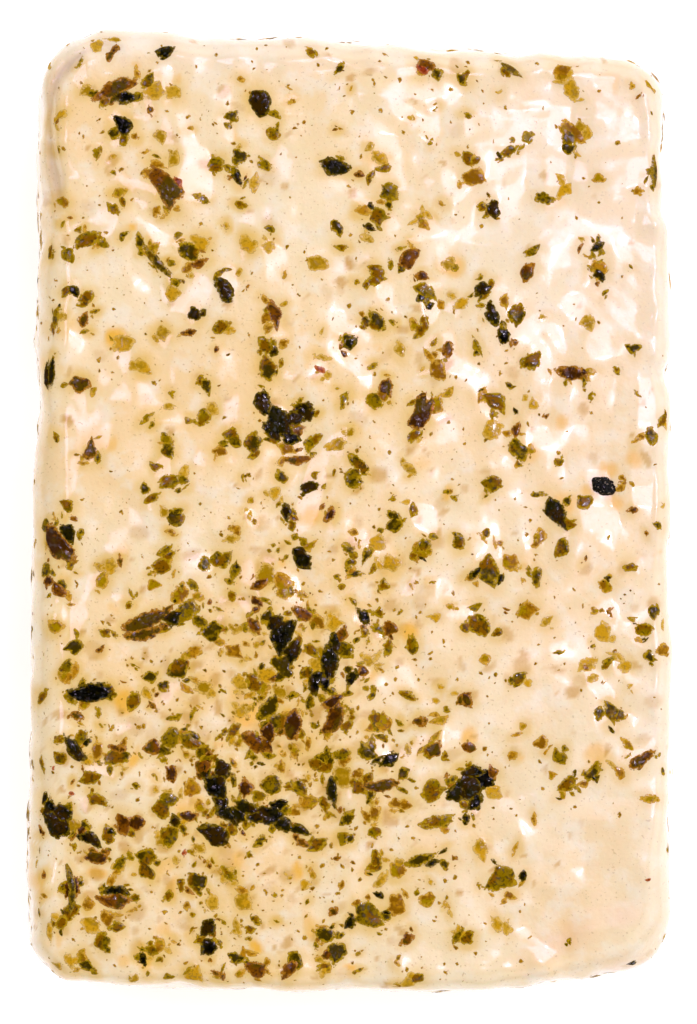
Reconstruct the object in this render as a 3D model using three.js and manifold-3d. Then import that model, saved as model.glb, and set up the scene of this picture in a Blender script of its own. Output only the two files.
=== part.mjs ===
import * as THREE from "three";
import { mergeVertices } from "three/addons/utils/BufferGeometryUtils.js";
import Module from "manifold-3d";

// A slab of pale wild garlic cheese, lying flat with its herbs upwards. Sizes are in millimetres.
// +Z is up, +Y runs along the length, and z = 0 is the face that the slab rests on.

// The slab
const LENGTH = 115;
const WIDTH = 77;
const THICKNESS = 24;

// Roundings seen from above. Power 2 is a circle, less is nearer to a straight cut across the
// corner, and more is squarer.
const FAR_LEFT = { radius: 8, power: 2 };
const FAR_RIGHT = { radius: 5.5, power: 2 };
const NEAR_RIGHT = { radius: 10, power: 3.2 };
const NEAR_LEFT = { radius: 5, power: 1.5 };

// Roundings of the upper edges, of the soft near right corner and of the foot
const LEFT_EDGE = 4;
const RIGHT_EDGE = 2.2;
const FAR_EDGE = 3.2;
const NEAR_EDGE = 2.6;
const SOFT_CORNER_EXTRA = 3.4;
const FOOT_EDGE = 1.8;
const SIDE_BULGE = 0.6;

// The pleat in the edge at the far left corner
const PLEAT_DEPTH = 1;
const PLEAT_INSET = 1.9;
const PLEAT_SPREAD = 0.7;

// Steps of the mesh
const STEPS_ACROSS = 18;
const STEPS_ALONG = 26;
const EDGE_STEPS = 4;
const SIDE_STEPS = 3;
const FOOT_STEPS = 2;
const SLOPE_STEP = 0.05;

// Herbs: how far they stand out of the cheese and reach into it, and how many are scattered
const HERB_PROUD = 0.35;
const HERB_ROOT = 0.7;
const LEAF_CORNERS = 6;
const FLAKE_CORNERS = 5;
const LEAF_LENGTH = 3.3;
const TOP_HERBS = 100;
const SIDE_HERBS = 44;
const HERB_SMALLEST = 0.9;
const HERB_SPAN = 2.6;
const HERB_FALL = 120;
const HERB_SEED = 20417;
const TEAR_SEED = 911;
const TOP_MARGIN = 1.2;
const SIDE_MARGIN = 9;
const SIDE_LOWEST = 3.6;
const SIDE_HIGHEST = 18.5;

// The largest leaves and stems on the top: centre, length, width and turn from +X in degrees
const MAIN_LEAVES = [
  { x: -8.6, y: 10.4, long: 5.2, wide: 3.8, turn: -50 },
  { x: -5.6, y: 12.0, long: 2.8, wide: 2.0, turn: 20 },
  { x: -24.2, y: -13.4, long: 8.4, wide: 2.6, turn: 22 },
  { x: -19.6, y: -12.1, long: 4.6, wide: 2.6, turn: 35 },
  { x: -15.7, y: -33.1, long: 4.6, wide: 3.2, turn: -60 },
  { x: -12.2, y: -35.5, long: 3.6, wide: 2.2, turn: -25 },
  { x: -9.4, y: -36.2, long: 4.4, wide: 3.2, turn: -10 },
  { x: -6.2, y: -38.0, long: 3.8, wide: 1.6, turn: -15 },
  { x: -34.8, y: -37.0, long: 4.6, wide: 3.8, turn: -35 },
  { x: -31.0, y: -38.9, long: 4.2, wide: 1.8, turn: -30 },
  { x: 13.9, y: -32.8, long: 5.4, wide: 3.6, turn: 15 },
  { x: -8.0, y: -14.9, long: 5.6, wide: 3.4, turn: 75 },
  { x: -2.4, y: -18.1, long: 5.4, wide: 2.4, turn: 85 },
  { x: -2.0, y: -24.8, long: 4.4, wide: 2.6, turn: 60 },
  { x: -34.9, y: -3.9, long: 6.6, wide: 3.2, turn: -50 },
  { x: -35.6, y: 16.4, long: 4.2, wide: 1.8, turn: 85 },
  { x: -30.8, y: 7.1, long: 3.6, wide: 2.2, turn: 80 },
  { x: -27.0, y: 45.7, long: 3.6, wide: 2.4, turn: -60 },
  { x: -27.6, y: 50.2, long: 7.2, wide: 2.2, turn: 20 },
  { x: -10.8, y: 48.4, long: 4.0, wide: 3.2, turn: -60 },
  { x: -21.8, y: 38.2, long: 6.8, wide: 3.4, turn: -62 },
  { x: -31.2, y: 32.2, long: 4.2, wide: 2.0, turn: 22 },
  { x: -22.9, y: 29.4, long: 6.6, wide: 1.2, turn: -48 },
  { x: -19.2, y: 30.8, long: 3.4, wide: 2.4, turn: -40 },
  { x: -14.9, y: 26.2, long: 3.8, wide: 2.2, turn: -65 },
  { x: -8.9, y: 23.2, long: 4.4, wide: 2.0, turn: -70 },
  { x: -9.7, y: 16.9, long: 3.6, wide: 2.4, turn: -80 },
  { x: -15.5, y: -6.0, long: 3.8, wide: 2.4, turn: 20 },
  { x: -5.8, y: -5.5, long: 4.0, wide: 2.6, turn: -60 },
  { x: -1.8, y: 40.6, long: 4.2, wide: 2.4, turn: -20 },
  { x: 8.5, y: 11.4, long: 5.4, wide: 3.4, turn: 60 },
  { x: 17.3, y: 12.8, long: 4.4, wide: 2.6, turn: -35 },
  { x: 20.0, y: 7.2, long: 3.8, wide: 2.4, turn: -60 },
  { x: 24.4, y: 0.0, long: 6.0, wide: 3.0, turn: -65 },
  { x: 16.3, y: -7.3, long: 4.6, wide: 3.0, turn: -70 },
  { x: 26.2, y: 16.3, long: 4.6, wide: 2.0, turn: 5 },
  { x: 17.9, y: -43.6, long: 4.8, wide: 3.2, turn: 18 },
  { x: 3.7, y: -32.9, long: 6.6, wide: 1.8, turn: 5 },
  { x: 10.3, y: -37.0, long: 4.8, wide: 1.6, turn: 10 },
  { x: 34.4, y: -29.8, long: 5.4, wide: 1.8, turn: 38 },
  { x: 2.2, y: -48.2, long: 4.6, wide: 3.6, turn: -30 },
  { x: 8.2, y: -41.5, long: 5.2, wide: 1.8, turn: 20 },
  { x: 31.1, y: -23.9, long: 3.6, wide: 2.0, turn: -70 },
  { x: 36.2, y: 40.2, long: 4.6, wide: 1.3, turn: 88 },
  { x: 26.4, y: 44.8, long: 4.2, wide: 2.4, turn: -45 },
  { x: 8.8, y: 53.0, long: 3.6, wide: 1.8, turn: -35 },
  { x: 19.0, y: 52.4, long: 3.8, wide: 1.1, turn: -42 },
  { x: 7.0, y: 29.9, long: 3.4, wide: 2.6, turn: 30 },
  { x: 9.1, y: 26.0, long: 3.6, wide: 2.0, turn: -35 },
  { x: 16.9, y: 23.3, long: 3.8, wide: 2.0, turn: -65 },
  { x: -30.6, y: -22.0, long: 6.2, wide: 3.2, turn: 8 },
  { x: -32.6, y: -28.8, long: 5.4, wide: 2.2, turn: -48 },
  { x: -27.6, y: -29.4, long: 3.6, wide: 2.6, turn: 20 },
  { x: -19.2, y: -27.4, long: 4.2, wide: 2.2, turn: -30 },
  { x: -11.0, y: -27.6, long: 4.6, wide: 2.6, turn: -30 },
  { x: -9.6, y: -23.6, long: 4.2, wide: 2.4, turn: 60 },
  { x: -16.1, y: -38.8, long: 4.8, wide: 3.2, turn: -25 },
  { x: -21.4, y: -38.8, long: 3.6, wide: 2.8, turn: 60 },
  { x: -2.0, y: -33.4, long: 4.4, wide: 1.8, turn: -85 },
  { x: -28.0, y: -46.4, long: 5.0, wide: 2.6, turn: -12 },
  { x: -33.0, y: -45.0, long: 6.8, wide: 1.1, turn: -85 },
  { x: -1.6, y: -52.4, long: 3.8, wide: 2.6, turn: 60 },
];

// One whole black peppercorn, half sunk in the cheese
const PEPPERCORN = { x: 30.1, y: 2.8, diameter: 2.9, proud: 0.9, sides: 9, rows: 5 };

const HALF_WIDTH = WIDTH / 2;
const HALF_LENGTH = LENGTH / 2;

const { lerp, clamp, smoothstep, degToRad } = THREE.MathUtils;
const bump = (value, centre, spread) => Math.exp(-(((value - centre) / spread) ** 2));

// The four sides seen from above, each a little uneven, as where the block was pressed and cut
const leftSide = (y) =>
  -37.85 + 0.0155 * y + 0.18 * Math.sin(0.22 * y + 1.1) + 0.35 * bump(y, 12.5, 3.5);

const rightSide = (y) =>
  38.35 - 0.95 * smoothstep(y, 35.5, 38.5) - 0.5 * bump(y, 17.6, 1.6) + 0.1 * Math.sin(0.17 * y);

const farSide = (x) =>
  56.05 - 0.045 * x - 0.0004 * x * x - 0.5 * bump(x, 20, 2.2) + 0.35 * bump(x, -29, 4);

const nearSide = (x) => -57.55 + 0.0006 * Math.min(0, x - 8) ** 2 + 0.11 * Math.max(0, x - 17);

function cornerFor(x, y) {
  if (y > 0) {
    return x < 0 ? FAR_LEFT : FAR_RIGHT;
  }
  return x < 0 ? NEAR_LEFT : NEAR_RIGHT;
}

// A point of the plain rectangle, moved to where it lies in the uneven slab
function planPoint(x, y) {
  const { radius, power } = cornerFor(x, y);
  const straightX = HALF_WIDTH - radius;
  const straightY = HALF_LENGTH - radius;
  const pastX = Math.abs(x) - straightX;
  const pastY = Math.abs(y) - straightY;
  let roundX = x;
  let roundY = y;
  if (pastX > 0 && pastY > 0) {
    const pull = Math.max(pastX, pastY) / (pastX ** power + pastY ** power) ** (1 / power);
    roundX = Math.sign(x) * (straightX + pastX * pull);
    roundY = Math.sign(y) * (straightY + pastY * pull);
  }
  return {
    x: lerp(leftSide(roundY), rightSide(roundY), roundX / WIDTH + 0.5),
    y: lerp(nearSide(roundX), farSide(roundX), roundY / LENGTH + 0.5),
  };
}

// How far a point seen from above lies inside the slab's outline
function insetAt(x, y) {
  const flatX = ((x - leftSide(y)) / (rightSide(y) - leftSide(y)) - 0.5) * WIDTH;
  const flatY = ((y - nearSide(x)) / (farSide(x) - nearSide(x)) - 0.5) * LENGTH;
  const { radius, power } = cornerFor(flatX, flatY);
  const pastX = Math.abs(flatX) - (HALF_WIDTH - radius);
  const pastY = Math.abs(flatY) - (HALF_LENGTH - radius);
  if (pastX > 0 && pastY > 0) {
    return radius - (pastX ** power + pastY ** power) ** (1 / power);
  }
  return Math.min(HALF_WIDTH - Math.abs(flatX), HALF_LENGTH - Math.abs(flatY));
}

// The rounding of the upper edge nearest to a point, blended round the corners
function edgeRadius(x, y) {
  const acrossWeight = (Math.abs(x) / HALF_WIDTH) ** 8 + 1e-6;
  const alongWeight = (Math.abs(y) / HALF_LENGTH) ** 8 + 1e-6;
  const acrossEdge = x < 0 ? LEFT_EDGE : RIGHT_EDGE;
  const alongEdge = y < 0 ? NEAR_EDGE : FAR_EDGE;
  const blended = acrossEdge * acrossWeight + alongEdge * alongWeight;
  const softCorner = bump(x, HALF_WIDTH, 12) * bump(y, -HALF_LENGTH, 14);
  return blended / (acrossWeight + alongWeight) + SOFT_CORNER_EXTRA * softCorner;
}

// Low swells and hollows of the top
function relief(x, y) {
  const swell = 0.16 * Math.sin(0.21 * x + 0.4) * Math.cos(0.17 * y - 0.8);
  const ripple = 0.12 * Math.sin(0.37 * x - 0.29 * y + 1.9);
  const hollow = -0.5 * bump(x, 24, 9) * bump(y, -49, 7);
  const crown = 0.35 * (1 - (x / HALF_WIDTH) ** 2) * (1 - (y / HALF_LENGTH) ** 2);
  return swell + ripple + hollow + crown;
}

function pleat(x, y, inset) {
  const reach = smoothstep(y, 34, 40) * (1 - smoothstep(x, -30, -26));
  return PLEAT_DEPTH * reach * bump(inset, PLEAT_INSET, PLEAT_SPREAD);
}

// Height of the upper face at a point whose distance from the outline is known
function topHeight(x, y, inset) {
  const radius = edgeRadius(x, y);
  const short = clamp(radius - inset, 0, radius);
  const drop = radius - Math.sqrt(radius * radius - short * short);
  return THICKNESS + relief(x, y) - drop - pleat(x, y, inset);
}

// A point "out" beyond the upper face, square to it, also where the edge rounds over
function aboveTop(x, y, out) {
  const heightAt = (px, py) => topHeight(px, py, insetAt(px, py));
  const slopeX = (heightAt(x + SLOPE_STEP, y) - heightAt(x - SLOPE_STEP, y)) / (2 * SLOPE_STEP);
  const slopeY = (heightAt(x, y + SLOPE_STEP) - heightAt(x, y - SLOPE_STEP)) / (2 * SLOPE_STEP);
  const normal = new THREE.Vector3(-slopeX, -slopeY, 1).normalize();
  return normal.multiplyScalar(out).add(new THREE.Vector3(x, y, heightAt(x, y))).toArray();
}

// The side leans in a little towards its top and its foot
const sideInset = (z) => SIDE_BULGE * (2 * z / THICKNESS - 1) ** 2;

// Steps that are closer together near the edges of the slab
const easeToEdges = (share) => share * (1.25 - 0.25 * share * share);

function topPoint(across, along) {
  const radius = edgeRadius(across * HALF_WIDTH, along * HALF_LENGTH);
  const point = planPoint(across * (HALF_WIDTH - radius), along * (HALF_LENGTH - radius));
  return [point.x, point.y, topHeight(point.x, point.y, radius)];
}

// Points down the side of the slab, from the rounded upper edge to the foot
function sidePoints(across, along) {
  const points = [];
  const radius = edgeRadius(across * HALF_WIDTH, along * HALF_LENGTH);
  const addPoint = (inset, height) => {
    const point = planPoint(across * (HALF_WIDTH - inset), along * (HALF_LENGTH - inset));
    points.push([point.x, point.y, height(point)]);
  };
  for (let step = 1; step <= EDGE_STEPS; step += 1) {
    const angle = (step / EDGE_STEPS) * (Math.PI / 2);
    const inset = radius * (1 - Math.sin(angle));
    const lean = sideInset(THICKNESS - radius) * Math.sin(angle);
    addPoint(inset + lean, (point) => topHeight(point.x, point.y, inset));
  }
  const shoulder = points[points.length - 1][2];
  for (let step = 1; step <= SIDE_STEPS; step += 1) {
    const z = lerp(shoulder, FOOT_EDGE, step / SIDE_STEPS);
    addPoint(sideInset(z), () => z);
  }
  for (let step = 1; step <= FOOT_STEPS; step += 1) {
    const angle = (step / FOOT_STEPS) * (Math.PI / 2);
    const z = FOOT_EDGE * (1 - Math.sin(angle));
    addPoint(sideInset(0) + FOOT_EDGE * (1 - Math.cos(angle)), () => z);
  }
  return points;
}

function slabGeometry() {
  const positions = [];
  const faces = [];
  const addVertex = (point) => positions.push(...point) / 3 - 1;
  const addQuad = (a, b, c, d) => faces.push(a, b, c, a, c, d);

  const share = (step, steps) => easeToEdges((2 * step) / steps - 1);
  const top = [];
  for (let i = 0; i <= STEPS_ACROSS; i += 1) {
    top.push([]);
    for (let j = 0; j <= STEPS_ALONG; j += 1) {
      top[i].push(addVertex(topPoint(share(i, STEPS_ACROSS), share(j, STEPS_ALONG))));
    }
  }
  for (let i = 0; i < STEPS_ACROSS; i += 1) {
    for (let j = 0; j < STEPS_ALONG; j += 1) {
      addQuad(top[i][j], top[i + 1][j], top[i + 1][j + 1], top[i][j + 1]);
    }
  }

  // The rim runs anticlockwise seen from above
  const rim = [];
  for (let i = 0; i < STEPS_ACROSS; i += 1) {
    rim.push([i, 0]);
  }
  for (let j = 0; j < STEPS_ALONG; j += 1) {
    rim.push([STEPS_ACROSS, j]);
  }
  for (let i = STEPS_ACROSS; i > 0; i -= 1) {
    rim.push([i, STEPS_ALONG]);
  }
  for (let j = STEPS_ALONG; j > 0; j -= 1) {
    rim.push([0, j]);
  }
  const columns = rim.map(([i, j]) => {
    const column = sidePoints(share(i, STEPS_ACROSS), share(j, STEPS_ALONG)).map(addVertex);
    return [top[i][j], ...column];
  });
  const footCentre = addVertex([0, 0, 0]);
  columns.forEach((column, index) => {
    const next = columns[(index + 1) % columns.length];
    const last = column.length - 1;
    for (let row = 0; row < last; row += 1) {
      addQuad(column[row], column[row + 1], next[row + 1], next[row]);
    }
    faces.push(column[last], footCentre, next[last]);
  });

  const geometry = new THREE.BufferGeometry();
  geometry.setAttribute("position", new THREE.Float32BufferAttribute(positions, 3));
  geometry.setIndex(faces);
  return geometry;
}

// The faces that herbs lie on. Each gives the point at (a, b) on it, "out" beyond its surface.
const herbFaces = {
  top: aboveTop,
  right: (a, b, out) => [rightSide(a) - sideInset(b) + out, a, b],
  left: (a, b, out) => [leftSide(-a) + sideInset(b) - out, -a, b],
  near: (a, b, out) => [a, nearSide(a) + sideInset(b) - out, b],
  far: (a, b, out) => [-a, farSide(-a) - sideInset(b) + out, b],
};

// The same numbers each time, between 0 and 1
function seededRandom(seed) {
  let state = seed;
  return () => {
    state = (Math.imul(state, 1664525) + 1013904223) >>> 0;
    return state / 2 ** 32;
  };
}

// How thickly the top is strewn: most in the middle and at the near left, least at the far right
function strewn(x, y) {
  const heap = 0.55 * bump(x, -8, 16) * bump(y, -26, 24);
  const nearLeft = 0.35 * bump(x, -24, 14) * bump(y, -38, 16);
  const bareMargin = 0.3 * bump(x, -32, 8) * bump(y, 7, 9);
  const bareCorner = 0.45 * bump(x, 34, 12) * bump(y, -48, 12);
  const bareRight = 0.25 * bump(x, 34, 12) * bump(y, 28, 22);
  return clamp(0.45 + heap + nearLeft - bareMargin - bareCorner - bareRight, 0.05, 1);
}

// Herbs get shorter in the order that they are scattered
function scatteredHerb(random, rank, x, y) {
  const long = HERB_SMALLEST + HERB_SPAN * Math.exp(-rank / HERB_FALL);
  const wide = long * (0.5 + 0.4 * random());
  const turn = 180 * random();
  return { x, y, long, wide, turn };
}

function scatterOnTop(count) {
  const random = seededRandom(HERB_SEED);
  const herbs = [];
  while (herbs.length < count) {
    const x = (random() - 0.5) * WIDTH;
    const y = (random() - 0.5) * LENGTH;
    const keep = random() < strewn(x, y);
    const herb = scatteredHerb(random, herbs.length, x, y);
    if (keep && insetAt(x, y) > TOP_MARGIN) {
      herbs.push(herb);
    }
  }
  return herbs;
}

// Herbs on the four upright sides, which share them by their length
function scatterOnSides(count) {
  const random = seededRandom(HERB_SEED + 1);
  const herbs = { right: [], left: [], near: [], far: [] };
  const longShare = LENGTH / (LENGTH + WIDTH);
  for (let rank = 0; rank < count; rank += 1) {
    const onLongSide = random() < longShare;
    const onFirst = random() < 0.5;
    const longSide = onFirst ? "right" : "left";
    const shortSide = onFirst ? "near" : "far";
    const reach = (onLongSide ? HALF_LENGTH : HALF_WIDTH) - SIDE_MARGIN;
    const along = (2 * random() - 1) * reach;
    const height = lerp(SIDE_LOWEST, SIDE_HIGHEST, random());
    const herb = scatteredHerb(random, rank, along, height);
    herbs[onLongSide ? longSide : shortSide].push(herb);
  }
  return herbs;
}

// A torn flake: a rough polygon that follows the face it lies on
function herbGeometry(random, facePoint, herb) {
  const turn = degToRad(herb.turn);
  const outline = new THREE.Shape();
  const corners = herb.long > LEAF_LENGTH ? LEAF_CORNERS : FLAKE_CORNERS;
  for (let corner = 0; corner < corners; corner += 1) {
    const angle = ((corner + 0.4 * (random() - 0.5)) / corners) * 2 * Math.PI;
    const reach = 0.8 + 0.3 * random();
    const along = (herb.long / 2) * reach * Math.cos(angle);
    const across = (herb.wide / 2) * reach * Math.sin(angle);
    const a = herb.x + along * Math.cos(turn) - across * Math.sin(turn);
    const b = herb.y + along * Math.sin(turn) + across * Math.cos(turn);
    if (corner === 0) {
      outline.moveTo(a, b);
    } else {
      outline.lineTo(a, b);
    }
  }
  outline.closePath();
  const flake = new THREE.ExtrudeGeometry(outline, { depth: 1, bevelEnabled: false });
  const points = flake.getAttribute("position");
  for (let index = 0; index < points.count; index += 1) {
    const out = points.getZ(index) > 0.5 ? HERB_PROUD : -HERB_ROOT;
    points.setXYZ(index, ...facePoint(points.getX(index), points.getY(index), out));
  }
  return flake;
}

function peppercornGeometry() {
  const { x, y, diameter, proud, sides, rows } = PEPPERCORN;
  const corn = new THREE.SphereGeometry(diameter / 2, sides, rows);
  corn.rotateX(Math.PI / 2);
  corn.translate(...aboveTop(x, y, proud - diameter / 2));
  return corn;
}

const wasm = await Module();
wasm.setup();

function toSolid(geometry) {
  const bare = geometry.clone();
  bare.deleteAttribute("normal");
  bare.deleteAttribute("uv");
  const merged = mergeVertices(bare, 1e-4);
  return new wasm.Manifold(
    new wasm.Mesh({
      numProp: 3,
      vertProperties: merged.getAttribute("position").array,
      triVerts: Uint32Array.from(merged.getIndex().array),
    }),
  );
}

function toGeometry(solid) {
  const mesh = solid.getMesh();
  const geometry = new THREE.BufferGeometry();
  geometry.setAttribute("position", new THREE.Float32BufferAttribute(mesh.vertProperties, 3));
  geometry.setIndex(Array.from(mesh.triVerts));
  geometry.computeVertexNormals();
  return geometry;
}

const tearRandom = seededRandom(TEAR_SEED);
const topHerbs = [...MAIN_LEAVES, ...scatterOnTop(TOP_HERBS)];
const herbGeometries = topHerbs.map((herb) => herbGeometry(tearRandom, herbFaces.top, herb));
for (const [side, herbs] of Object.entries(scatterOnSides(SIDE_HERBS))) {
  for (const herb of herbs) {
    herbGeometries.push(herbGeometry(tearRandom, herbFaces[side], herb));
  }
}
herbGeometries.push(peppercornGeometry());

const cheeseSolid = herbGeometries.reduce(
  (block, herb) => block.add(toSolid(herb)),
  toSolid(slabGeometry()),
);

const cheese = new THREE.Mesh(
  toGeometry(cheeseSolid),
  new THREE.MeshStandardMaterial({ color: 0xf7e3c8, roughness: 0.25, metalness: 0 }),
);
cheese.name = "cheese";

const model = new THREE.Group();
model.add(cheese);

export default model;
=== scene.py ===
"""A slab of pale wild garlic cheese, lying flat, with torn leaves, herb flakes and pepper in its skin.

Forms are worked out in millimetres and turned into metres as each mesh is made.
"""

import math

import bpy
import numpy as np
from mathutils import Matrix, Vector
from mathutils.bvhtree import BVHTree


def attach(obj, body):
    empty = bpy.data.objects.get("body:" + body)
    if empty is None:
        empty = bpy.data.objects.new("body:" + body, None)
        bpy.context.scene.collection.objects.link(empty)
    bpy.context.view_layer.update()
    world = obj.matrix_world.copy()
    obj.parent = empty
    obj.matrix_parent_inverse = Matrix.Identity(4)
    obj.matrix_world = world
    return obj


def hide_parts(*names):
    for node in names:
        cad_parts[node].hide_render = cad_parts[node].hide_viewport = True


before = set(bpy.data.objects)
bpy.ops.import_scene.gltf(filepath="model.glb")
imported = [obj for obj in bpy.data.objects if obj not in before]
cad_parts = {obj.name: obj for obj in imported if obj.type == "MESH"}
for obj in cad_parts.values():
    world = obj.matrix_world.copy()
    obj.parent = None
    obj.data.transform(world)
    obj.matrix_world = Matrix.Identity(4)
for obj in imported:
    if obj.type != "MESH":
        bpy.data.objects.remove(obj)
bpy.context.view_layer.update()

MM = 0.001
UP = (0, 0, 1)

# The slab, as in the CAD model
LENGTH = 115.0
WIDTH = 77.0
THICKNESS = 24.0
HALF_WIDTH = WIDTH / 2
HALF_LENGTH = LENGTH / 2

# Corners seen from above, as (radius, power): near left, near right, far left, far right
CORNER_RADIUS = (5.0, 10.0, 8.0, 5.5)
CORNER_POWER = (1.5, 3.2, 2.0, 2.0)

# Roundings of the upper edges, of the soft near right corner and of the foot
LEFT_EDGE = 4.0
RIGHT_EDGE = 2.2
FAR_EDGE = 3.2
NEAR_EDGE = 2.6
SOFT_CORNER_EXTRA = 3.4
FOOT_EDGE = 1.8
SIDE_BULGE = 0.6

# The pleat in the edge at the far left corner
PLEAT_DEPTH = 1.0
PLEAT_INSET = 1.9
PLEAT_SPREAD = 0.7

# Steps of the fine mesh
STEPS_ACROSS = 190
STEPS_ALONG = 284
EDGE_STEPS = 10
SIDE_STEPS = 22
FOOT_STEPS = 4
FOOT_RINGS = 5

# The tight wet skin: flat facets with creases between them, and softer dimples
FACET_SIZE = 5.4
FACET_HEIGHT = 0.32
FACET_WARP = 2.4
SMALL_FACET_SIZE = 2.6
SMALL_FACET_HEIGHT = 0.19
SMALL_FACET_WARP = 1.2
WARP_SIZE = 7.0
DIMPLE_SIZE = 1.5
DIMPLE_HEIGHT = 0.025
CLOTH_PITCH = 2.6
CLOTH_HEIGHT = 0.012

# Random lattices: points along each side before they repeat, and where they start
LATTICE = 48
LATTICE_START = 1000

# Scattered herbs, in the same order and places as in the CAD model
HERB_SMALLEST = 0.9
HERB_SPAN = 2.6
HERB_FALL = 120
HERB_SEED = 20417
TOP_MARGIN = 1.2
SIDE_MARGIN = 9.0
SIDE_LOWEST = 3.6
SIDE_HIGHEST = 18.5
TOP_HERBS = 100
SIDE_HERBS = 44

# What the CAD model leaves out as too small
SMALL_FLAKES = 720
SIDE_FLAKES = 460
TOP_SPECKS = 1500
SIDE_SPECKS = 500
SUNKEN_FLAKES = 500
HALO_MARGIN = 0.9


def lerp(start, end, share):
    return start + (end - start) * share


def bump(value, centre, spread):
    return np.exp(-(((value - centre) / spread) ** 2))


def smoothstep(value, low, high):
    share = np.clip((value - low) / (high - low), 0, 1)
    return share * share * (3 - 2 * share)


# The form of the slab

def left_side(y):
    return (-37.85 + 0.0155 * y + 0.18 * np.sin(0.22 * y + 1.1)
            + 0.35 * bump(y, 12.5, 3.5))


def right_side(y):
    return (38.35 - 0.95 * smoothstep(y, 35.5, 38.5) - 0.5 * bump(y, 17.6, 1.6)
            + 0.1 * np.sin(0.17 * y))


def far_side(x):
    return (56.05 - 0.045 * x - 0.0004 * x * x - 0.5 * bump(x, 20, 2.2)
            + 0.35 * bump(x, -29, 4))


def near_side(x):
    return -57.55 + 0.0006 * np.minimum(0, x - 8) ** 2 + 0.11 * np.maximum(0, x - 17)


def corner_of(x, y):
    """Radius and power of the corner that each point is nearest to."""
    which = np.where(x > 0, 1, 0) + np.where(y > 0, 2, 0)
    return np.take(CORNER_RADIUS, which), np.take(CORNER_POWER, which)


def plan_point(x, y):
    """A point of the plain rectangle, moved to where it lies in the uneven slab."""
    radius, power = corner_of(x, y)
    straight_x = HALF_WIDTH - radius
    straight_y = HALF_LENGTH - radius
    past_x = np.maximum(np.abs(x) - straight_x, 0)
    past_y = np.maximum(np.abs(y) - straight_y, 0)
    rounding = (past_x > 0) & (past_y > 0)
    reach = np.where(rounding, (past_x ** power + past_y ** power) ** (1 / power), 1)
    pull = np.where(rounding, np.maximum(past_x, past_y) / reach, 1)
    round_x = np.where(rounding, np.sign(x) * (straight_x + past_x * pull), x)
    round_y = np.where(rounding, np.sign(y) * (straight_y + past_y * pull), y)
    plan_x = lerp(left_side(round_y), right_side(round_y), round_x / WIDTH + 0.5)
    plan_y = lerp(near_side(round_x), far_side(round_x), round_y / LENGTH + 0.5)
    return plan_x, plan_y


def inset_at(x, y):
    """How far a point seen from above lies inside the slab's outline."""
    flat_x = ((x - left_side(y)) / (right_side(y) - left_side(y)) - 0.5) * WIDTH
    flat_y = ((y - near_side(x)) / (far_side(x) - near_side(x)) - 0.5) * LENGTH
    radius, power = corner_of(flat_x, flat_y)
    past_x = np.maximum(np.abs(flat_x) - (HALF_WIDTH - radius), 0)
    past_y = np.maximum(np.abs(flat_y) - (HALF_LENGTH - radius), 0)
    in_corner = (past_x > 0) & (past_y > 0)
    round_inset = radius - (past_x ** power + past_y ** power) ** (1 / power)
    straight_inset = np.minimum(HALF_WIDTH - np.abs(flat_x), HALF_LENGTH - np.abs(flat_y))
    return np.where(in_corner, round_inset, straight_inset)


def edge_radius(x, y):
    """The rounding of the nearest upper edge, blended round the corners."""
    across_weight = (np.abs(x) / HALF_WIDTH) ** 8 + 1e-6
    along_weight = (np.abs(y) / HALF_LENGTH) ** 8 + 1e-6
    across_edge = np.where(x < 0, LEFT_EDGE, RIGHT_EDGE)
    along_edge = np.where(y < 0, NEAR_EDGE, FAR_EDGE)
    blended = across_edge * across_weight + along_edge * along_weight
    soft_corner = bump(x, HALF_WIDTH, 12) * bump(y, -HALF_LENGTH, 14)
    return blended / (across_weight + along_weight) + SOFT_CORNER_EXTRA * soft_corner


def relief(x, y):
    """Low swells and hollows of the top."""
    swell = 0.16 * np.sin(0.21 * x + 0.4) * np.cos(0.17 * y - 0.8)
    ripple = 0.12 * np.sin(0.37 * x - 0.29 * y + 1.9)
    hollow = -0.5 * bump(x, 24, 9) * bump(y, -49, 7)
    crown = 0.35 * (1 - (x / HALF_WIDTH) ** 2) * (1 - (y / HALF_LENGTH) ** 2)
    return swell + ripple + hollow + crown


def pleat(x, y, inset):
    """The pressed-in pleat, which wanders and fades along its length."""
    reach = smoothstep(y, 34, 40) * (1 - smoothstep(x, -30, -26))
    wander = 0.5 * np.sin(0.31 * y + 0.2 * x) + 0.3 * np.sin(0.9 * x - 0.4 * y)
    fade = 0.75 + 0.25 * np.sin(0.55 * x + 0.35 * y + 2)
    return PLEAT_DEPTH * fade * reach * bump(inset + wander, PLEAT_INSET, PLEAT_SPREAD)


def top_height(x, y, inset):
    radius = edge_radius(x, y)
    short = np.clip(radius - inset, 0, radius)
    drop = radius - np.sqrt(radius * radius - short * short)
    return THICKNESS + relief(x, y) - drop - pleat(x, y, inset)


def side_inset(z):
    return SIDE_BULGE * (2 * z / THICKNESS - 1) ** 2


def ease_to_edges(share):
    return share * (1.25 - 0.25 * share * share)


# Uneven surfaces

class Unevenness:
    """Random heights on a lattice in space, read anywhere with soft or creased joins."""

    def __init__(self, seed, size, creased=False):
        self.size = size
        self.creased = creased
        self.heights = np.random.default_rng(seed).uniform(-1, 1, (LATTICE, LATTICE, LATTICE))

    def at(self, points):
        place = points / self.size + LATTICE_START
        cell = np.floor(place).astype(int)
        share = place - cell
        if not self.creased:
            share = share * share * (3 - 2 * share)
        total = np.zeros(len(points))
        for corner in np.ndindex(2, 2, 2):
            index = (cell + corner) % LATTICE
            weight = np.prod(np.where(corner, share, 1 - share), axis=1)
            total += weight * self.heights[index[:, 0], index[:, 1], index[:, 2]]
        return total


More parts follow.
